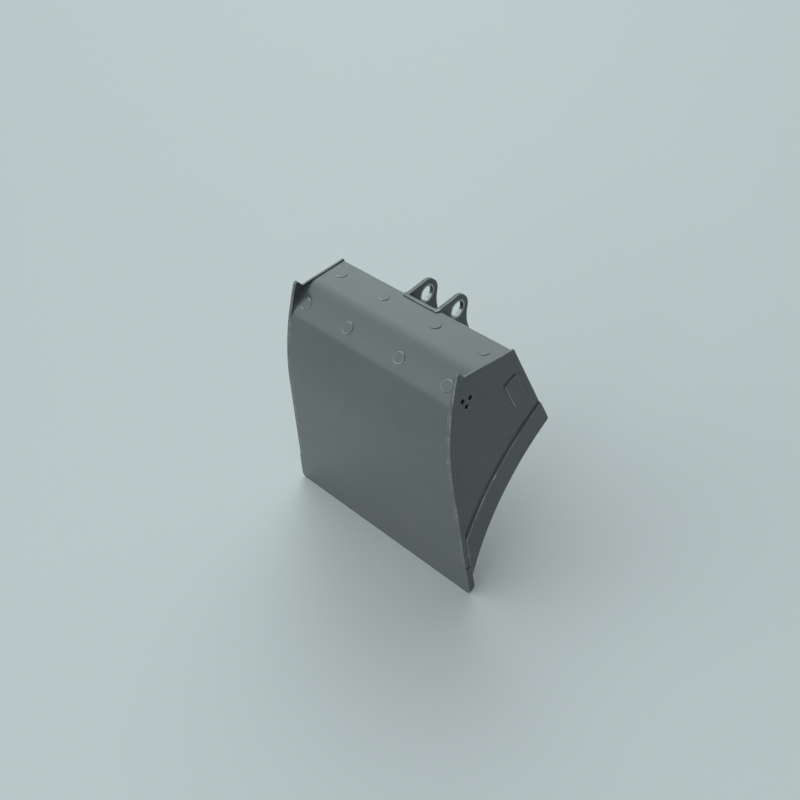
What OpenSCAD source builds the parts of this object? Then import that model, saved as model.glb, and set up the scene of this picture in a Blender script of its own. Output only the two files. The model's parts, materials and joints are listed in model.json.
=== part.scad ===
// Excavator bucket: a welded steel bucket with a plain, toothless cutting edge.
// X runs across the width, Y from the back towards the open mouth, Z up.
// The bucket hangs with its cutting edge down and its top plate level. The
// origin is the middle of the hinge pin's axis, between the two ears.
//
// Outlines are drawn in a (Y, Z) plane whose zero is the tip of the cutting
// edge, extruded across the width, then cut by the two leaning side planes.

/* [Overall] */
// Width at the cutting edge, measured between the two side planes
bucket_w = 1100; // [900:10:1500]
// Height of the top plate's outer face above the cutting edge
bucket_h = 1183; // [1120:1:1400]
// Distance from the cutting edge forward to the corner of top and mount plates
top_reach = 266; // [230:1:330]
// How far each side plate spreads from back to mouth, in degrees
side_toe = 5.35; // [0:0.05:8]
// How far each side plate leans in from cutting edge to top, in degrees
side_draft = 4.05; // [0:0.05:6]

/* [Back and heel] */
// Length of the straight part of the floor, from the cutting edge up
floor_len = 705; // [600:5:760]
// Lean of the straight part of the floor, in degrees
floor_lean = 6.8; // [4:0.1:9]
// Radius of the long bend above the straight part
back_r = 1350; // [1100:10:1700]
// Outer radius of the heel bend, where the back turns into the top plate
heel_r = 175; // [120:5:220]
// Plate thickness of the rolled back shell
shell_t = 12; // [8:1:20]

/* [Mount plate] */
// Slope of the mount plate below level, in degrees
mount_lean = 65; // [60:0.5:70]
// Length of the mount plate along its slope
mount_len = 490; // [470:5:560]
// Thickness of the mount plate
mount_t = 20; // [12:1:30]
// Depth of the stiffening bar across the top of the mouth
mouth_bar_w = 50; // [30:5:70]
// Thickness of the stiffening bar
mouth_bar_t = 25; // [16:1:40]
// Thickness of the inner plate that closes the torque box under the top plate
torque_t = 12; // [8:1:20]
// Where the inner plate meets the mount plate, along its slope
torque_foot = 330; // [280:5:380]
// Depth below the top plate at which the inner plate meets the back
torque_drop = 205; // [180:5:260]

/* [Sides] */
// Thickness of the side plates
side_t = 10; // [8:1:20]
// How far the side plates' edges stand above the top and mount plates
side_proud = 6; // [3:1:12]
// Depth of the side plates' faces inside the side planes
side_inset = 2; // [1:1:6]
// Radius of the concave mouth edge
mouth_r = 1196; // [1000:1:1500]
// Height above the cutting edge where the mouth edge meets the lip
mouth_low = 104; // [80:1:140]
// Rounding of the side plates' mouth corner
corner_r = 14; // [6:1:20]
// Width of the reinforcing strip along the mouth edge
strip_w = 118; // [90:1:150]
// Thickness of the reinforcing strip
strip_t = 10; // [6:1:16]
// Width of the runner strip along the back edge
runner_w = 26; // [20:1:40]
// Thickness of the runner strip and of the heel guard
runner_t = 6; // [4:1:12]
// Height of the heel guard's tip above the side plates' top edge
horn_h = 44; // [20:1:60]
// Distance from the guard's tip down to the end of the heel guard
guard_len = 145; // [120:5:200]
// Slope of the guard's tip, in degrees below level
horn_slope = 48; // [30:1:60]
// Rounding of the guard's tip
horn_r = 12; // [4:1:20]
// Rise of the heel guard's lower end for each unit of its width
guard_slant = 0.5; // [0:0.05:1]

/* [Side details] */
// Diameter of the drain holes
drain_d = 22; // [14:1:26]
// Diameter of the circle that the three drain holes sit on
drain_circle_d = 46; // [40:1:60]
// Distance of the drain holes from the centre of the heel bend
drain_reach = 101; // [80:1:120]
// Direction of the drain holes from the centre of the heel bend, in degrees
drain_angle = 145; // [120:1:160]
// Length of the doubler pad
pad_len = 140; // [100:5:180]
// Width of the doubler pad
pad_w = 74; // [50:2:90]
// Thickness of the doubler pad
pad_t = 8; // [5:1:12]
// Corner radius of the doubler pad
pad_r = 8; // [4:1:16]
// Place of the pad's centre along the mount plate's slope
pad_along = 183; // [150:1:230]
// Depth of the pad's centre behind the mount edge
pad_depth = 80; // [70:1:110]

/* [Cutting edge] */
// Thickness of the cutting edge
edge_t = 32; // [20:1:40]
// Height of the cutting edge plate
edge_h = 168; // [140:1:200]
// Height of the bevel at its tip
bevel_h = 36; // [20:1:50]
// Thickness left at the tip
nose_t = 9; // [5:1:14]
// How far each end of the cutting edge stands outside the side plane
edge_over = 8; // [6:1:16]
// Rounding of the two bottom corners
edge_corner_r = 26; // [10:1:40]

/* [Ears] */
// Thickness of each ear
ear_t = 18; // [12:1:30]
// Distance between the middles of the two ears
ear_pitch = 174; // [140:1:300]
// Radius of the ears around each pin
boss_r = 68; // [60:1:90]
// Bore for the pins
pin_d = 72; // [50:1:80]
// Wall of the bushes pressed into the ears
bush_wall = 9; // [6:1:12]
// Place of the link pin along the mount plate's slope
link_along = 93; // [85:1:110]
// Height of the link pin above the mount edge
link_rise = 79; // [74:1:95]
// Distance between the link pin and the hinge pin, along the slope
pin_spacing = 310; // [290:1:360]
// Height of the hinge pin above the mount edge
hinge_rise = 84; // [78:1:110]
// Radius of the hollow between the two bosses
saddle_r = 190; // [150:5:240]
// Width of the tie bar across the ears' toes
tie_w = 15; // [10:1:24]

/* [Wear buttons] */
// Diameter of the wear buttons
button_d = 54; // [40:1:70]
// How far the buttons stand out of the plate
button_t = 3; // [2:0.5:8]
// Chamfer around each button
button_chamfer = 1.5; // [0.5:0.5:2]
// Distance of the inner buttons from the middle
button_inner_x = 147; // [100:1:180]
// Distance of the outer buttons from the middle
button_outer_x = 404; // [300:1:410]

/* [Hidden] */
$fn = 96;
fine = 360;
arc_steps = 40;
reach = 3000;

steel_grey = "#66706f";
side_grey = "#59625f";
bush_steel = "#8a8f90";

// Unit directions: up along the floor, into the bucket, and along and out of
// the mount plate
floor_up = [-sin(floor_lean), cos(floor_lean)];
floor_in = [cos(floor_lean), sin(floor_lean)];
mount_down = [cos(mount_lean), -sin(mount_lean)];
mount_out = [sin(mount_lean), cos(mount_lean)];

// Centres of the two bends of the back
back_start = floor_len * floor_up;
back_centre = back_start + back_r * floor_in;
heel_z = bucket_h - heel_r;
heel_centre = [
  back_centre[0] - sqrt(pow(back_r - heel_r, 2) - pow(heel_z - back_centre[1], 2)),
  heel_z
];
heel_start = heading_of(heel_centre - back_centre);

// The side plates' outline: its top edge, the corner over the mount plate and
// the tip of the mouth
side_top = bucket_h + side_proud;
mount_corner = [top_reach, side_top];
mouth_tip = mount_corner + mount_len * mount_down;
lip_len = mouth_low / cos(floor_lean);
lip_foot = lip_len * floor_up + edge_t * floor_in;
mouth_centre = circle_through(lip_foot, mouth_tip, mouth_r);

// Tip of the heel guard, on the long bend of the back
horn_z = side_top + horn_h;
horn_tip = [back_line_y(horn_z), horn_z];

// Pins
link_pin = mount_point(link_along, link_rise);
hinge_pin = mount_point(link_along + pin_spacing, hinge_rise);
bush_r = pin_d / 2 + bush_wall;

// Faces of the plates along the side planes, measured outwards
side_outer = -side_inset;
side_inner = side_outer - side_t;

function mount_point(along, rise) =
  mount_corner + along * mount_down + rise * mount_out;

// Where the long bend of the back passes the height z
function back_line_y(z) =
  back_centre[0] - sqrt(pow(back_r, 2) - pow(z - back_centre[1], 2));

// Centre of the circle of radius r through a and b, on the right of a to b
function circle_through(a, b, r) =
  let (half = (b - a) / 2, d = norm(half))
  a + half - sqrt(r * r - d * d) * turned(half) / d;

// Direction from a boss's centre to where a tangent from p touches it, on the
// left of the way from p to the centre (side 1) or on its right (side -1)
function tangent_heading(p, centre, side) =
  heading_of(centre - p) + side * (90 + asin(boss_r / norm(centre - p)));

// Points along an arc
function arc(centre, r, from, to) =
  [for (i = [1:arc_steps - 1]) centre + r * heading(from + (to - from) * i / arc_steps)];

// Centre of a circle at distance d from both a and b, on the left of a to b
function circle_beside(a, b, d) =
  let (half = (b - a) / 2)
  a + half + sqrt(d * d - half * half) * turned(half) / norm(half);

// Where a line from p in the direction along comes within d of a centre
function first_within(p, along, centre, d) =
  let (start = p - centre, b = start * along)
  p - (b + sqrt(b * b - start * start + d * d)) * along;

function heading(angle) = [cos(angle), sin(angle)];
function heading_of(v) = atan2(v[1], v[0]);

// A direction turned a quarter to the left
function turned(v) = [-v[1], v[0]];

// ---- Outlines in the (Y, Z) plane ----

// What is left outside a circle, between two directions from its centre
module round_waste(centre, r, from, to) {
  step = (to - from) / 3;
  difference() {
    polygon(concat([centre], [for (i = [0:3]) centre + 3 * r * heading(from + i * step)]));
    translate(centre) circle(r, $fn = fine);
  }
}

// Everything in front of the floor and the long bend of the back
module inside_back(inset) {
  difference() {
    polygon([
      inset * floor_in - reach * floor_up, inset * floor_in + reach * floor_up,
      reach * floor_in + reach * floor_up, reach * floor_in - reach * floor_up
    ]);
    round_waste(back_centre, back_r - inset, 180 + floor_lean, 120);
  }
}

// The same, closed by the heel bend and the top plate
module inside_shell(inset) {
  difference() {
    inside_back(inset);
    above(bucket_h - inset);
    round_waste(heel_centre, heel_r - inset, heel_start, 90);
  }
}

module above(z) {
  translate([-reach / 2, z]) square([2 * reach, 2 * reach]);
}

// A strip along the mount plate, between two depths from its outer edge
module mount_band(from, to, low, high) {
  polygon([
    mount_point(from, low), mount_point(to, low),
    mount_point(to, high), mount_point(from, high)
  ]);
}

// Everything behind the mount plate, cut back by inset
module behind_mount(inset) {
  mount_band(-reach, reach, -reach, -inset);
}

module edge_outline() {
  polygon([
    [0, 0], edge_h * floor_up, edge_h * floor_up + edge_t * floor_in,
    bevel_h * floor_up + edge_t * floor_in, nose_t * floor_in
  ]);
}

// Everything closer to the cutting edge's tip than a length along the floor,
// as deep as width from the floor's face
module below(length, width) {
  polygon([
    length * floor_up - reach * floor_in, length * floor_up + width * floor_in,
    width * floor_in - reach * floor_up, -reach * floor_in - reach * floor_up
  ]);
}

module shell_outline() {
  difference() {
    intersection() {
      inside_shell(0);
      behind_mount(side_proud + mount_t);
    }
    inside_shell(shell_t);
    below(edge_h, reach);
  }
}

module side_outline() {
  difference() {
    inside_back(0);
    above_horn();
    mount_band(-reach, reach, 0, reach);
    translate(mouth_centre) circle(mouth_r, $fn = fine);
    below(edge_h, edge_t);
    below(lip_len, reach);
    mouth_tip_waste();
    horn_tip_waste();
  }
}

// Everything above the side plates' top edge and the tip of the heel guard
module above_horn() {
  foot = horn_tip + horn_h * [1 / tan(horn_slope), -1];
  polygon([
    horn_tip - [reach, 0], horn_tip, foot,
    foot + [reach, 0], foot + [reach, reach], foot + [-reach, reach]
  ]);
}

// Rounds the side plates' tip, between the mount edge and the mouth edge
module mouth_tip_waste() {
  middle = first_within(mount_point(0, -corner_r), mount_down, mouth_centre, mouth_r + corner_r);
  round_waste(middle, corner_r, 90 - mount_lean, heading_of(mouth_centre - middle));
}

// Rounds the heel guard's tip, between the back edge and its slope
module horn_tip_waste() {
  inwards = [-sin(horn_slope), -cos(horn_slope)];
  down = [cos(horn_slope), -sin(horn_slope)];
  middle = first_within(horn_tip + horn_r * inwards, down, back_centre, back_r - horn_r);
  round_waste(middle, horn_r, 90 - horn_slope, heading_of(middle - back_centre));
}

// The band along the mouth edge that the reinforcing strip covers
module mouth_zone() {
  translate(mouth_centre) circle(mouth_r + strip_w, $fn = fine);
}

// Everything above the slanted line where the heel guard ends
module guard_zone() {
  z = horn_z - guard_len;
  slant = guard_len * [1, guard_slant];
  foot = [back_line_y(z), z];
  polygon([foot - slant, foot + slant, foot + slant + [0, reach], foot - slant + [0, reach]]);
}

// Round the link pin, down the hollow, round the hinge pin and back to the plate
module ear_outline() {
  toe = [top_reach - side_proud, side_top];
  root = mount_point(link_along + pin_spacing + boss_r, -side_proud);
  neck = circle_beside(link_pin, hinge_pin, boss_r + saddle_r);
  difference() {
    polygon(concat(
      [[toe[0], bucket_h], toe],
      arc(link_pin, boss_r, tangent_heading(toe, link_pin, 1), heading_of(neck - link_pin)),
      arc(neck, saddle_r, heading_of(link_pin - neck), heading_of(hinge_pin - neck) + 360),
      arc(hinge_pin, boss_r, heading_of(neck - hinge_pin), tangent_heading(root, hinge_pin, -1)),
      [root]
    ));
    behind_mount(side_proud);
  }
}

module pad_outline() {
  translate(mount_point(pad_along, -pad_depth)) rotate(-mount_lean) difference() {
    square([pad_len, pad_w], center = true);
    for (turn = [0, 180], flip = [0, 1])
      rotate(turn) mirror([0, flip])
        round_waste([pad_len / 2 - pad_r, pad_w / 2 - pad_r], pad_r, 0, 90);
  }
}

// ---- From outline to plate ----

// Puts the bucket's origin on the hinge pin
module placed() {
  translate([0, -hinge_pin[0], -hinge_pin[1]]) children();
}

// Extrudes an outline across the width
module across(x0, x1) {
  translate([x0, 0, 0]) rotate([90, 0, 90]) linear_extrude(height = x1 - x0) children();
}

// The layer between two offsets from the right side plane
module side_layer(inner, outer) {
  translate([bucket_w / 2, 0, 0]) rotate([0, -side_draft, -side_toe])
    translate([inner, -reach / 2, -reach / 2]) cube([outer - inner, reach, reach]);
}

// A side part: the outline, as a layer of the leaning side plane
module side_part(inner, outer) {
  intersection() {
    across(bucket_w / 8, bucket_w) children();
    side_layer(inner, outer);
  }
}

// A part that runs between both sides and ends on a plane beside them
module spanning(offset) {
  difference() {
    across(-bucket_w, bucket_w) children();
    side_layer(offset, bucket_w);
    mirror([1, 0, 0]) side_layer(offset, bucket_w);
  }
}

// Side 1 is the right one, side -1 the left one
module on_side(side) {
  if (side > 0) children();
  else mirror([1, 0, 0]) children();
}

// ---- Parts ----

module back_shell() {
  color(steel_grey) placed() spanning(side_inner) shell_outline();
}

module mount_plate() {
  color(steel_grey) placed() spanning(side_inner) difference() {
    mount_band(-reach, mount_len - corner_r, -side_proud - mount_t, -side_proud);
    translate([-reach / 2, bucket_h]) square([reach, reach]);
  }
}

module mouth_bar() {
  top = mount_len - corner_r - mouth_bar_w;
  depth = side_proud + mount_t;
  color(steel_grey) placed() spanning(side_inner)
    mount_band(top, top + mouth_bar_w, -depth - mouth_bar_t, -depth);
}

// Inner plate across the bucket, from the back to the mount plate
module torque_plate() {
  head_z = bucket_h - torque_drop;
  head = [back_line_y(head_z), head_z];
  foot = mount_point(torque_foot, -side_proud - mount_t);
  along = (foot - head) / norm(foot - head);
  width = torque_t * [along[1], -along[0]];
  color(steel_grey) placed() spanning(side_inner) intersection() {
    polygon([
      head - reach * along, foot + reach * along,
      foot + reach * along + width, head - reach * along + width
    ]);
    inside_shell(shell_t);
    behind_mount(side_proud + mount_t);
  }
}

module side_plate(side) {
  drain_middle = heel_centre + drain_reach * [cos(drain_angle), sin(drain_angle)];
  color(side_grey) placed() on_side(side) difference() {
    side_part(side_inner, side_outer) side_outline();
    for (i = [0:2])
      across(bucket_w / 8, bucket_w)
        translate(drain_middle) rotate(30 + 120 * i)
          translate([drain_circle_d / 2, 0]) circle(d = drain_d, $fn = 48);
  }
}

module mouth_strip(side) {
  color(side_grey) placed() on_side(side)
    side_part(side_outer, side_outer + strip_t) intersection() {
      side_outline();
      mouth_zone();
      inside_back(runner_w);
    }
}

module runner(side) {
  color(side_grey) placed() on_side(side)
    side_part(side_outer, side_outer + runner_t) difference() {
      side_outline();
      inside_back(runner_w);
      guard_zone();
    }
}

module heel_guard(side) {
  color(steel_grey) placed() on_side(side)
    side_part(side_outer, side_outer + runner_t) intersection() {
      guard_zone();
      difference() {
        side_outline();
        inside_back(runner_w);
      }
    }
}

module side_pad(side) {
  color(side_grey) placed() on_side(side)
    side_part(side_outer, side_outer + pad_t) pad_outline();
}

module cutting_edge() {
  color(steel_grey) placed() difference() {
    spanning(edge_over) edge_outline();
    for (side = [-1, 1])
      on_side(side) edge_corner();
  }
}

// The waste outside one rounded bottom corner of the cutting edge
module edge_corner() {
  x = bucket_w / 2 + edge_over - edge_corner_r;
  translate([x, -reach / 2, 0]) rotate([-90, 0, 0]) mirror([0, 1, 0])
    linear_extrude(height = reach) difference() {
      translate([0, -1]) square([2 * edge_corner_r, edge_corner_r + 1]);
      translate([0, edge_corner_r]) circle(edge_corner_r);
    }
}

module ear(side) {
  middle = side * ear_pitch / 2;
  color(side_grey) placed()
    across(middle - ear_t / 2, middle + ear_t / 2) difference() {
      ear_outline();
      translate(link_pin) circle(bush_r);
      translate(hinge_pin) circle(bush_r);
    }
}

module ear_tie_bar() {
  half = (ear_pitch + ear_t) / 2;
  color(steel_grey) placed() across(-half, half)
    translate([top_reach - side_proud - tie_w, bucket_h]) square([tie_w, side_proud]);
}

module ear_bush(side, pin) {
  middle = side * ear_pitch / 2;
  color(bush_steel) placed()
    across(middle - ear_t / 2, middle + ear_t / 2) translate(pin) difference() {
      circle(bush_r);
      circle(d = pin_d);
    }
}

// One button on a plate, standing along +Z
module button() {
  cylinder(d = button_d, h = button_t - button_chamfer);
  translate([0, 0, button_t - button_chamfer])
    cylinder(d1 = button_d, d2 = button_d - 2 * button_chamfer, h = button_chamfer);
}

module button_row() {
  for (x = [-button_outer_x, -button_inner_x, button_inner_x, button_outer_x])
    translate([x, 0, 0]) children();
}

// Each button is bedded down to the heel bend, halfway round it
module heel_buttons() {
  color(steel_grey) placed() button_row() difference() {
    translate([0, heel_centre[0], heel_centre[1]]) rotate([45, 0, 0]) {
      translate([0, 0, heel_r]) button();
      translate([0, 0, heel_r - 4]) cylinder(d = button_d, h = 4);
    }
    translate([-button_d, heel_centre[0], heel_centre[1]]) rotate([0, 90, 0])
      cylinder(r = heel_r, h = 2 * button_d, $fn = fine);
  }
}

module top_buttons() {
  y = (heel_centre[0] + top_reach) / 2;
  color(steel_grey) placed() button_row() translate([0, y, bucket_h]) button();
}

back_shell();
mount_plate();
torque_plate();
mouth_bar();
side_plate(-1);  // side_plate_left
side_plate(1);  // side_plate_right
mouth_strip(-1);  // mouth_strip_left
mouth_strip(1);  // mouth_strip_right
runner(-1);  // runner_left
runner(1);  // runner_right
heel_guard(-1);  // heel_guard_left
heel_guard(1);  // heel_guard_right
side_pad(-1);  // side_pad_left
side_pad(1);  // side_pad_right
cutting_edge();
ear(-1);  // ear_left
ear(1);  // ear_right
ear_tie_bar();
ear_bush(-1, link_pin);  // link_bush_left
ear_bush(1, link_pin);  // link_bush_right
ear_bush(-1, hinge_pin);  // hinge_bush_left
ear_bush(1, hinge_pin);  // hinge_bush_right
heel_buttons();
top_buttons();
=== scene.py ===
# %% [markdown]
# # An excavator bucket, painted and lit
# The bucket is one welded piece: a rolled back, two side plates, a cutting edge
# and two ears with the bores for the excavator's pins. Its measured solids come
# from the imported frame. This lesson rounds their edges as a plate shop would,
# lays the weld beads, and gives every surface its paint or its bare steel.

import json
import math

import bpy
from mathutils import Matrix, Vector

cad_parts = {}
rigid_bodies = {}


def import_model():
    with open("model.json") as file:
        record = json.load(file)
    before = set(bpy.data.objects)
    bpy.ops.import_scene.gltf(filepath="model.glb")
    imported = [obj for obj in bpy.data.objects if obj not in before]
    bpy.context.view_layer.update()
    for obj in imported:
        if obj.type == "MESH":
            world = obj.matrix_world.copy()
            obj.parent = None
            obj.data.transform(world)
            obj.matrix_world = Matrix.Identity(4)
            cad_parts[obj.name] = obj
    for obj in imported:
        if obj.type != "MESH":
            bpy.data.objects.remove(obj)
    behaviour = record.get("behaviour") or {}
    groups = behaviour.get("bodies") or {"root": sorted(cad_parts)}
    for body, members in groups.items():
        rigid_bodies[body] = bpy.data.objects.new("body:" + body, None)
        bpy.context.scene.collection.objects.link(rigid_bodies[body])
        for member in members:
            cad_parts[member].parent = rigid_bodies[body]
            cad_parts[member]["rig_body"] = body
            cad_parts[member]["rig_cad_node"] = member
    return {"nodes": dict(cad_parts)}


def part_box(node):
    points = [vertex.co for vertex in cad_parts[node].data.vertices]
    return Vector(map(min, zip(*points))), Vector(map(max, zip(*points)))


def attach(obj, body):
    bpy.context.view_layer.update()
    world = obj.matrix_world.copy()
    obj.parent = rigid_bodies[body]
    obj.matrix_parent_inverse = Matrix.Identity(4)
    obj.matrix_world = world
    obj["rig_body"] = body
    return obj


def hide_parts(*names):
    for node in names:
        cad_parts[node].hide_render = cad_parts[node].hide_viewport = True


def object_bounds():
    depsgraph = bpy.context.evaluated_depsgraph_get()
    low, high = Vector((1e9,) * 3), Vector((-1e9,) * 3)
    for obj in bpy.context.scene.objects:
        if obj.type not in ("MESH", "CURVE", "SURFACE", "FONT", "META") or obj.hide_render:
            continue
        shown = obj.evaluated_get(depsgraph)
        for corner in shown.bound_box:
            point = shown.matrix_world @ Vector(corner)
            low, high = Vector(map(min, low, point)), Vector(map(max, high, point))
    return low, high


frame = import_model()
cad_low, cad_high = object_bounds()
nodes = frame["nodes"]
MM = 0.001
print("solids in the frame:", len(nodes))

# %% [markdown]
# ## The camera
# A long lens, well above the bucket and behind its heel, sees the back, the top
# and the right side at once. The hinge pin's axis is the frame's origin, so the
# camera's place is measured from there.

# %% Camera
EYE = Vector((2.4043, -2.8818, 2.7333))
LOOK = Vector((-0.53533, 0.55572, -0.63608))
LENS_MM, SENSOR_MM = 46.128, 36.0

bpy.ops.object.select_all(action="DESELECT")
bpy.ops.object.camera_add(location=EYE, rotation=LOOK.to_track_quat("-Z", "Y").to_euler())
camera = bpy.context.object
camera.name = "camera"
camera.data.lens = LENS_MM
camera.data.sensor_width = SENSOR_MM
camera.data.clip_end = 200.0
bpy.context.scene.camera = camera
print("camera height above the cutting edge: %.2f m" % (EYE.z - cad_low.z))

# %% [markdown]
# ## Floor and light
# A pale, faintly glossy table top reaches far past the bucket. The light is
# that of a white studio with no single lamp to be seen in the enamel: a soft
# dome, brightest high behind the bucket, where the top plate mirrors it, and
# less bright in front and to the left, for the heel and the back. Nothing
# glows at the right, so that side falls into shade. One small softbox in front
# draws thin glints along the rounded edges, which also carry a painted
# highlight in their lighter enamel.

# %% Colours
def paint_colour(code):
    """An sRGB hex value as the linear colour that a shader takes."""
    parts = [int(code[i:i + 2], 16) / 255 for i in (1, 3, 5)]
    linear = [c / 12.92 if c <= 0.04045 else ((c + 0.055) / 1.055) ** 2.4 for c in parts]
    return (*linear, 1.0)


def add_node(tree, kind, settings=None, **links):
    """Adds one node: settings are its properties and sockets, links its inputs."""
    node = tree.nodes.new(kind)
    for key, value in (settings or {}).items():
        if isinstance(key, str) and hasattr(node, key):
            setattr(node, key, value)
        else:
            node.inputs[key].default_value = value
    for key, source in links.items():
        tree.links.new(source, node.inputs[key.replace("_", " ")])
    return node


# %% Floor
FLOOR_SIDE = 60.0
bpy.ops.object.select_all(action="DESELECT")
bpy.ops.mesh.primitive_plane_add(size=FLOOR_SIDE, location=(0, 0, cad_low.z))
floor = bpy.context.object
floor.name = "floor"
bpy.ops.object.transform_apply(location=True, rotation=True, scale=True)

table = bpy.data.materials.new("pale_table_top")
table.use_nodes = True
shader = table.node_tree.nodes["Principled BSDF"]
shader.inputs["Base Color"].default_value = paint_colour("#dadada")
shader.inputs["Roughness"].default_value = 0.5
floor.data.materials.append(table)

# %% Studio dome
STUDIO_WHITE = "#eefeff"
GLOWS = {
    "high behind": ((-0.535, 0.556, 0.636), 2.15),
    "overhead, left": ((-0.535, -0.273, 0.80), 1.00),
    "front, left": ((-0.535, -0.636, 0.556), 0.52),
    "low front": ((-0.535, -0.83, 0.16), 1.45),
    "high front": ((0.25, -0.62, 0.74), 0.46),
}
GLOW_TIGHTNESS = 8.0
DOME_BASE = 0.05

room = bpy.data.worlds.new("studio_dome")
room.use_nodes = True
sky = room.node_tree
backdrop = sky.nodes["Background"]
backdrop.inputs["Color"].default_value = paint_colour(STUDIO_WHITE)
direction = add_node(sky, "ShaderNodeTexCoord").outputs["Generated"]
brightness = None
for towards, strength in GLOWS.values():
    facing = add_node(sky, "ShaderNodeVectorMath",
                      {"operation": "DOT_PRODUCT", 1: Vector(towards).normalized()})
    sky.links.new(direction, facing.inputs[0])
    fall = add_node(sky, "ShaderNodeMath",
                    {"operation": "MULTIPLY_ADD", 1: GLOW_TIGHTNESS, 2: -GLOW_TIGHTNESS})
    sky.links.new(facing.outputs["Value"], fall.inputs[0])
    glow = add_node(sky, "ShaderNodeMath", {"operation": "EXPONENT"})
    sky.links.new(fall.outputs[0], glow.inputs[0])
    total = add_node(sky, "ShaderNodeMath", {"operation": "MULTIPLY_ADD", 1: strength})
    sky.links.new(glow.outputs[0], total.inputs[0])
    if brightness:
        sky.links.new(brightness, total.inputs[2])
    else:
        total.inputs[2].default_value = DOME_BASE
    brightness = total.outputs[0]
sky.links.new(brightness, backdrop.inputs["Strength"])
bpy.context.scene.world = room

bpy.context.scene.view_settings.view_transform = "Standard"
print("glows in the dome:", list(GLOWS))

# %% Small softbox
HEART = Vector((0.0, -0.2, -0.3))
TO_SOFTBOX = Vector((0.25, -0.93, 0.40)).normalized()
SOFTBOX_AWAY, SOFTBOX_SIDE, SOFTBOX_WATTS = 10.0, 1.4, 60

bpy.ops.object.select_all(action="DESELECT")
bpy.ops.object.light_add(type="AREA", location=HEART + TO_SOFTBOX * SOFTBOX_AWAY,
                         rotation=(-TO_SOFTBOX).to_track_quat("-Z", "Y").to_euler())
softbox = bpy.context.object
softbox.name = "softbox_front"
softbox.data.size = SOFTBOX_SIDE
softbox.data.energy = SOFTBOX_WATTS
softbox.data.color = paint_colour(STUDIO_WHITE)[:3]
print("softbox height above the floor: %.2f m" % (softbox.location.z - cad_low.z))

# %% [markdown]
# ## Satin grey enamel
# The bucket wears an air-sprayed alkyd enamel. Up close a sprayed coat isn't
# flat: it has the fine ripple called orange peel, a few millimetres from crest
# to crest, and its gloss changes a little from place to place where dust and
# hands have dulled it. Where plates end, the coat is thin and rubs through
# first, so the rounded edges get a second finish in which patches of primer
# and steel show. That finish is also lighter enamel all along the edges: a
# painted highlight.

# %% Enamel, and rubbed edges with a painted highlight
PEEL_MM = 5.0
MOTTLE_MM = 160.0
DUST_MM = 24.0
WEAR_MM = 60.0


def sprayed_enamel(name, top_coat, shade, gloss):
    """Satin enamel: orange peel, a faint mottle in colour, and uneven gloss."""
    coat = bpy.data.materials.new(name)
    coat.use_nodes = True
    tree = coat.node_tree
    shader = tree.nodes["Principled BSDF"]
    place = add_node(tree, "ShaderNodeTexCoord").outputs["Object"]
    mottle = add_node(tree, "ShaderNodeTexNoise",
                      {"Scale": 1 / (MOTTLE_MM * MM), "Detail": 5.0, "Roughness": 0.6},
                      Vector=place)
    tint = add_node(tree, "ShaderNodeValToRGB", Fac=mottle.outputs["Fac"])
    tint.color_ramp.elements[0].position = 0.35
    tint.color_ramp.elements[1].position = 0.68
    tint.color_ramp.elements[0].color = paint_colour(shade)
    tint.color_ramp.elements[1].color = paint_colour(top_coat)
    dust = add_node(tree, "ShaderNodeTexNoise",
                    {"Scale": 1 / (DUST_MM * MM), "Detail": 8.0, "Roughness": 0.7}, Vector=place)
    dulled = add_node(tree, "ShaderNodeMapRange",
                      {"From Min": 0.3, "From Max": 0.75,
                       "To Min": gloss - 0.05, "To Max": gloss + 0.07},
                      Value=dust.outputs["Fac"])
    peel = add_node(tree, "ShaderNodeTexNoise",
                    {"Scale": 1 / (PEEL_MM * MM), "Detail": 2.0, "Roughness": 0.5}, Vector=place)
    ripple = add_node(tree, "ShaderNodeBump",
                      {"Strength": 0.25, "Distance": 0.0004}, Height=peel.outputs["Fac"])
    tree.links.new(tint.outputs["Color"], shader.inputs["Base Color"])
    tree.links.new(dulled.outputs["Result"], shader.inputs["Roughness"])
    tree.links.new(ripple.outputs["Normal"], shader.inputs["Normal"])
    shader.inputs["IOR"].default_value = 1.5
    return coat


def rubbed_edge_with_highlight(name, top_coat, bare, gloss):
    """The same enamel where it wraps an edge, made lighter as a painted highlight and polished
    through to bright steel in patches.
    """
    # top_coat here is a lighter enamel than the body's: a painted highlight on every rounded edge
    coat = sprayed_enamel(name, top_coat, top_coat, gloss)
    tree = coat.node_tree
    shader = tree.nodes["Principled BSDF"]
    place = add_node(tree, "ShaderNodeTexCoord").outputs["Object"]
    chips = add_node(tree, "ShaderNodeTexNoise",
                     {"Scale": 1 / (WEAR_MM * MM), "Detail": 6.0, "Roughness": 0.6}, Vector=place)
    worn = add_node(tree, "ShaderNodeMapRange",
                    {"From Min": 0.38, "From Max": 0.62, "To Min": 0.0, "To Max": 1.0},
                    Value=chips.outputs["Fac"])
    under = shader.inputs["Base Color"].links[0].from_socket
    mixed = add_node(tree, "ShaderNodeMix", {"data_type": "RGBA"})
    tree.links.new(worn.outputs["Result"], mixed.inputs["Factor"])
    tree.links.new(under, mixed.inputs[6])
    mixed.inputs[7].default_value = paint_colour(bare)
    tree.links.new(mixed.outputs[2], shader.inputs["Base Color"])
    tree.links.new(worn.outputs["Result"], shader.inputs["Metallic"])
    return coat


enamel = sprayed_enamel("satin_grey_enamel", "#636765", "#5f6462", 0.20)
# the edge finish: lighter enamel as a painted highlight, with worn patches of bare steel
edge_highlight_and_wear = rubbed_edge_with_highlight("rubbed_enamel_edge_and_highlight", "#6e7371", "#b4b8b7", 0.24)
print("finishes so far:", [m.name for m in bpy.data.materials])

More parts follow.
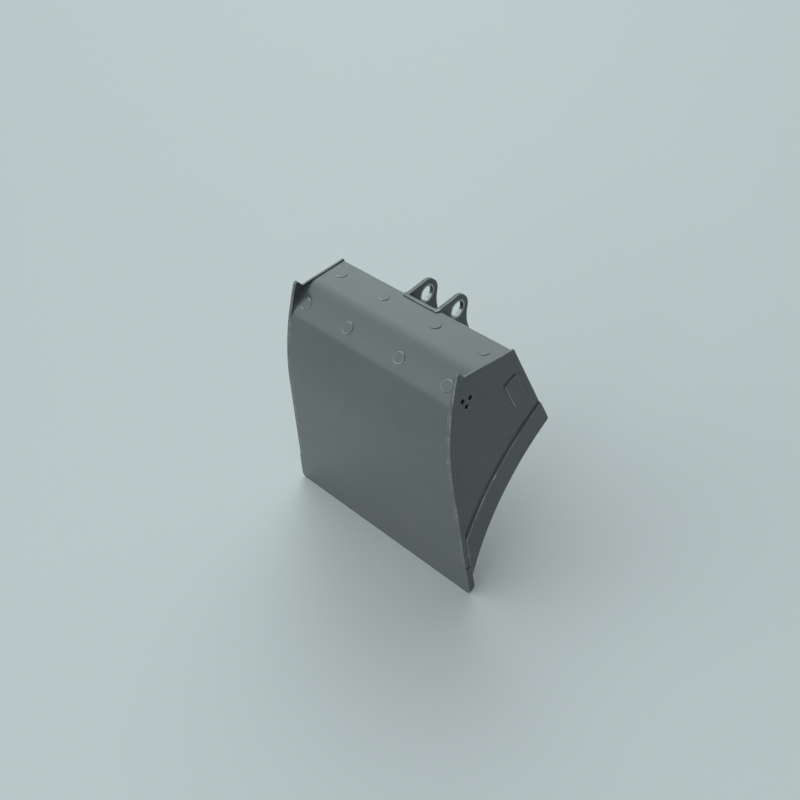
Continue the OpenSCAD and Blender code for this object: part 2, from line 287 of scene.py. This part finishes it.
# %% [markdown]
# ## Bushes
# The ear bushes are turned on a lathe from hardened steel. A turned face has
# fine rings round its axis, which the light draws out into two bright wedges,
# so roughness stays middling and a ring pattern drives the bump.

# %% Turned steel
RING_MM = 1.2
GREASE_MM = 25.0
WAVE_RATE = 20 / (2 * math.pi)


def turned_steel(name, centre):
    """Bare lathe-turned steel with rings round an axis along X through centre."""
    steel = bpy.data.materials.new(name)
    steel.use_nodes = True
    tree = steel.node_tree
    shader = tree.nodes["Principled BSDF"]
    place = add_node(tree, "ShaderNodeTexCoord").outputs["Object"]
    moved = add_node(tree, "ShaderNodeMapping", Vector=place)
    moved.inputs["Location"].default_value = (-centre[0], -centre[1], -centre[2])
    rings = add_node(tree, "ShaderNodeTexWave",
                     {"wave_type": "RINGS", "rings_direction": "X",
                      "Scale": 1 / (RING_MM * WAVE_RATE * MM), "Distortion": 0.4, "Detail": 2.0},
                     Vector=moved.outputs["Vector"])
    grease = add_node(tree, "ShaderNodeTexNoise",
                      {"Scale": 1 / (GREASE_MM * MM), "Detail": 6.0}, Vector=place)
    film = add_node(tree, "ShaderNodeMapRange",
                    {"From Min": 0.3, "From Max": 0.7, "To Min": 0.28, "To Max": 0.46},
                    Value=grease.outputs["Fac"])
    cut = add_node(tree, "ShaderNodeBump",
                   {"Strength": 0.3, "Distance": 0.0002}, Height=rings.outputs["Fac"])
    tree.links.new(film.outputs["Result"], shader.inputs["Roughness"])
    tree.links.new(cut.outputs["Normal"], shader.inputs["Normal"])
    shader.inputs["Base Color"].default_value = paint_colour("#9a9c9b")
    shader.inputs["Metallic"].default_value = 1.0
    return steel


# %% [markdown]
# ## Plates with rounded edges
# A flame-cut plate is ground before painting, so no edge is knife sharp. Each
# plate keeps its measured solid: a copy is merged, its flat faces are joined,
# and a narrow bevel rounds every sharp edge. Bevel weights choose the edges, so
# that a joint which is ground flush can stay square. The bevel's own faces take
# the rubbed finish, with its painted highlight.

# %% A merged copy
MERGE_MM = 0.02
FLAT = math.radians(0.4)


def copy_solid(node):
    """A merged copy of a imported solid, with its flat faces joined."""
    piece = nodes[node].copy()
    piece.data = nodes[node].data.copy()
    bpy.context.collection.objects.link(piece)
    piece.parent = None
    piece.hide_viewport = piece.hide_render = False
    piece.hide_set(False)
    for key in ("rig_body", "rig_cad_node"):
        if key in piece:
            del piece[key]
    piece.data.materials.clear()
    bpy.ops.object.select_all(action="DESELECT")
    piece.select_set(True)
    bpy.context.view_layer.objects.active = piece
    bpy.ops.object.mode_set(mode="EDIT")
    bpy.ops.mesh.select_all(action="SELECT")
    if piece.data.has_custom_normals:
        bpy.ops.mesh.customdata_custom_splitnormals_clear()
    bpy.ops.mesh.remove_doubles(threshold=MERGE_MM * MM)
    bpy.ops.mesh.dissolve_limited(angle_limit=FLAT)
    bpy.ops.object.mode_set(mode="OBJECT")
    return piece


def apply_all(piece):
    """Applies every modifier of a piece, from the first to the last."""
    bpy.ops.object.select_all(action="DESELECT")
    piece.select_set(True)
    bpy.context.view_layer.objects.active = piece
    for modifier in list(piece.modifiers):
        bpy.ops.object.modifier_apply(modifier=modifier.name)


def faces_by_edge(mesh):
    """The faces that meet at each edge, by the edge's two corners."""
    meeting = {edge.key: [] for edge in mesh.edges}
    for face in mesh.polygons:
        for key in face.edge_keys:
            meeting[key].append(face.index)
    return meeting


# %% Rounding a plate
SMOOTH = math.radians(40)


def rounded(node, width_mm, name, sharp=25, segments=3, keep=None, clamp=False):
    """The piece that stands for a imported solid, its edges rounded by width_mm.

    Edges that bend by more than sharp degrees are rounded, but those whose middle
    passes the test keep stay square. clamp holds the width back where edges lie
    close together.
    """
    piece = copy_solid(node)
    piece.name = name
    piece.data.name = name
    piece.data.materials.append(enamel)
    piece.data.materials.append(edge_highlight_and_wear)
    mesh = piece.data
    meeting = faces_by_edge(mesh)
    weights = mesh.attributes.new("bevel_weight_edge", "FLOAT", "EDGE").data
    for edge, weight in zip(mesh.edges, weights):
        a, b = (mesh.vertices[i].co for i in edge.vertices)
        faces = [mesh.polygons[i].normal for i in meeting[edge.key]]
        bend = faces[0].angle(faces[1], 0.0) if len(faces) == 2 else 0.0
        weight.value = float(bend > math.radians(sharp) and not (keep and keep((a + b) / 2)))
    round_off = piece.modifiers.new("rounded edges", "BEVEL")
    round_off.width = width_mm * MM
    round_off.segments = segments
    round_off.limit_method = "WEIGHT"
    round_off.use_clamp_overlap = clamp
    # the bevel's faces take the edge finish: worn steel patches and a painted highlight
    round_off.material = 1
    apply_all(piece)
    bpy.ops.object.shade_smooth_by_angle(angle=SMOOTH)
    even = piece.modifiers.new("even shading", "WEIGHTED_NORMAL")
    even.keep_sharp = True
    apply_all(piece)
    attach(piece, "root")
    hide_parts(node)
    return piece


# %% Plates and buttons
MIDDLE_PLATES_MM = {"torque_plate": 1.5, "mouth_bar": 2.5, "ear_tie_bar": 1.5}
SIDE_PLATES_MM = {
    "side_plate": 2.0, "mouth_strip": 2.5, "runner": 1.5,
    "heel_guard": 2.8, "side_pad": 2.5, "ear": 2.5,
}
for node, width_mm in MIDDLE_PLATES_MM.items():
    rounded(node, width_mm, "rounded_" + node)
for side in ("left", "right"):
    for plate, width_mm in SIDE_PLATES_MM.items():
        rounded(f"{plate}_{side}", width_mm, f"rounded_{plate}_{side}")
rounded("heel_buttons", 1.3, "rounded_heel_buttons", sharp=20, segments=4, clamp=True)
rounded("top_buttons", 0.7, "rounded_top_buttons", sharp=20, segments=2)

# %% Plates with a flush joint
# Outside, the shell is ground flush with the cutting edge and with the top of
# the mount plate, so the edges that meet there stay square
SHELL_LOW, SHELL_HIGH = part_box("back_shell")
FLUSH_BAND = 3.5 * MM


def at_flush_joint(point):
    at_lip = abs(point.z - SHELL_LOW.z) < FLUSH_BAND
    at_mount = SHELL_HIGH.z - point.z < 1 * MM and abs(point.y - SHELL_HIGH.y) < 2 * FLUSH_BAND
    return at_lip or at_mount


rounded("mount_plate", 2.0, "rounded_mount_plate", keep=at_flush_joint)
rounded("back_shell", 1.5, "rounded_back_shell", keep=at_flush_joint)
rounded("cutting_edge", 2.5, "rounded_cutting_edge", keep=at_flush_joint, clamp=True)

# %% [markdown]
# ## Weld beads
# The plates are joined by fillet welds. A bead is a rounded ridge that fills
# the corner between two plates, and its surface has small overlapping scales,
# one for each pulse of the arc. Its route is a corner line of the measured
# solid, so it is read off that solid's mesh. A tube whose radius falls and
# jumps back once for each scale follows the route, half sunk in both plates.
# A tube along a route is a curve's own job, so a bead starts as a curve, and
# is made a closed mesh.

# %% Corner lines of a solid
MIDDLE = Vector((0.0, -0.25, -0.25))


def lies_outwards(normal, centre):
    """How far a face looks away from the middle line of the bucket, -1 to 1."""
    away = centre - MIDDLE
    away.x = 0.0
    return normal.dot(away.normalized())


def corner_lines(node, first, second):
    """The chains of edges of a solid between faces that pass the first test and
    faces that pass the second, as lists of points. A test takes a face's normal
    and its middle."""
    piece = copy_solid(node)
    mesh = piece.data
    following = {}
    for key, faces in faces_by_edge(mesh).items():
        if len(faces) != 2:
            continue
        looks = [(mesh.polygons[i].normal, mesh.polygons[i].center) for i in faces]
        if any(first(*one) and second(*other) for one, other in (looks, looks[::-1])):
            a, b = key
            following.setdefault(a, []).append(b)
            following.setdefault(b, []).append(a)
    lines = []
    while following:
        ends = [v for v, near in following.items() if len(near) == 1]
        at = min(ends or following)
        chain = [at]
        while following.get(at):
            onward = following[at].pop()
            following[onward].remove(at)
            for v in (at, onward):
                if not following[v]:
                    del following[v]
            at = onward
            chain.append(at)
        lines.append([mesh.vertices[v].co.copy() for v in chain])
    bpy.data.objects.remove(piece)
    return lines


# %% A weld bead
SCALE_MM = 8.0
SCALE_DEPTH = 0.16
STEPS_A_SCALE = 4


def weld_bead(name, route, radius_mm):
    """A scaled ridge along a route of points, closed at both ends."""
    step = SCALE_MM / STEPS_A_SCALE * MM
    places, travelled = [route[0]], 0.0
    for a, b in zip(route, route[1:]):
        length = (b - a).length
        while length and travelled + step <= length:
            travelled += step
            places.append(a + (b - a) * (travelled / length))
        travelled -= length
    curve = bpy.data.curves.new(name, "CURVE")
    curve.dimensions = "3D"
    curve.bevel_depth = radius_mm * MM
    curve.bevel_resolution = 2
    curve.use_fill_caps = True
    line = curve.splines.new("POLY")
    line.points.add(len(places) - 1)
    for i, (point, place) in enumerate(zip(line.points, places)):
        point.co = (*place, 1.0)
        point.radius = 1.0 - SCALE_DEPTH * ((i % STEPS_A_SCALE) / STEPS_A_SCALE) ** 2
    bead = bpy.data.objects.new(name, curve)
    bpy.context.collection.objects.link(bead)
    bpy.ops.object.select_all(action="DESELECT")
    bead.select_set(True)
    bpy.context.view_layer.objects.active = bead
    bpy.ops.object.convert(target="MESH")
    bead = bpy.context.object
    bpy.ops.object.mode_set(mode="EDIT")
    bpy.ops.mesh.select_all(action="SELECT")
    bpy.ops.mesh.remove_doubles(threshold=MERGE_MM / 2 * MM)
    bpy.ops.mesh.normals_make_consistent(inside=False)
    bpy.ops.object.mode_set(mode="OBJECT")
    bpy.ops.object.shade_smooth()
    bead.data.materials.clear()
    bead.data.materials.append(enamel)
    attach(bead, "root")
    return bead


# %% Which way a face looks
MOUNT_LEAN = math.radians(65)
MOUNT_OUT = Vector((0.0, math.sin(MOUNT_LEAN), math.cos(MOUNT_LEAN)))
MOUNT_UP = Vector((0.0, -math.cos(MOUNT_LEAN), math.sin(MOUNT_LEAN)))


def is_end(normal, centre):
    return abs(normal.x) > 0.9


def is_rim(normal, centre):
    return abs(normal.x) < 0.5


def is_outer(normal, centre):
    return is_rim(normal, centre) and lies_outwards(normal, centre) > 0.5


def is_inner(normal, centre):
    return is_rim(normal, centre) and lies_outwards(normal, centre) < -0.5


def looks_down(normal, centre):
    return normal.z < -0.8


def looks_inwards(normal, centre):
    return normal.x * math.copysign(1.0, centre.x) < -0.9


def looks_out_of_mount(normal, centre):
    return normal.dot(MOUNT_OUT) > 0.95


def looks_into_mount(normal, centre):
    return normal.dot(MOUNT_OUT) < -0.95


def looks_up_mount(normal, centre):
    return normal.dot(MOUNT_UP) > 0.95


def is_strip_back(normal, centre):
    return is_rim(normal, centre) and normal.y < -0.2 and normal.z > 0.0


# %% Beads between the plates
HEEL_FOOT_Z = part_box("heel_guard_right")[0].z
BOX_TOP_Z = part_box("torque_plate")[1].z
LIP_TOP_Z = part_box("cutting_edge")[1].z
SHORTEST_BEAD = 0.2
BEADS = [
    ("back_shell", is_end, is_outer, 4.5, (HEEL_FOOT_Z, 1.0)),
    ("back_shell", is_end, is_inner, 6.0, (-1.0, BOX_TOP_Z)),
    ("back_shell", is_inner, looks_down, 7.0, (-1.0, LIP_TOP_Z)),
    ("torque_plate", looks_down, is_rim, 5.0, None),
    ("torque_plate", looks_down, is_end, 5.0, None),
    ("mount_plate", is_end, looks_out_of_mount, 4.5, None),
    ("mount_plate", is_end, looks_into_mount, 6.0, None),
    ("mouth_bar", looks_out_of_mount, looks_up_mount, 6.0, None),
    ("ear_left", is_end, looks_into_mount, 6.0, None),
    ("ear_right", is_end, looks_into_mount, 6.0, None),
    ("mouth_strip_left", looks_inwards, is_strip_back, 2.2, None),
    ("mouth_strip_right", looks_inwards, is_strip_back, 2.2, None),
    ("side_pad_left", looks_inwards, is_rim, 2.4, None),
    ("side_pad_right", looks_inwards, is_rim, 2.4, None),
]
beads = []
for node, first, second, radius_mm, heights in BEADS:
    for route in corner_lines(node, first, second):
        if heights:
            route = [point for point in route if heights[0] < point.z < heights[1]]
        if sum((b - a).length for a, b in zip(route, route[1:])) > SHORTEST_BEAD:
            beads.append(weld_bead(f"weld_{node}_{len(beads) + 1}", route, radius_mm))
print("weld beads:", len(beads), "with", sum(len(bead.data.polygons) for bead in beads), "faces")

# %% [markdown]
# ## Steel on the bushes
# A bush is a plain turned ring, so its measured solid is shown as it is. Each
# one gets its own steel, whose rings are centred on that bush.

# %% Steel on the bushes
for side in ("left", "right"):
    for pin in ("link", "hinge"):
        node = f"{pin}_bush_{side}"
        low_corner, high_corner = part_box(node)
        nodes[node].data.materials.clear()
        nodes[node].data.materials.append(
            turned_steel(f"turned_steel_{pin}_{side}", (low_corner + high_corner) / 2))
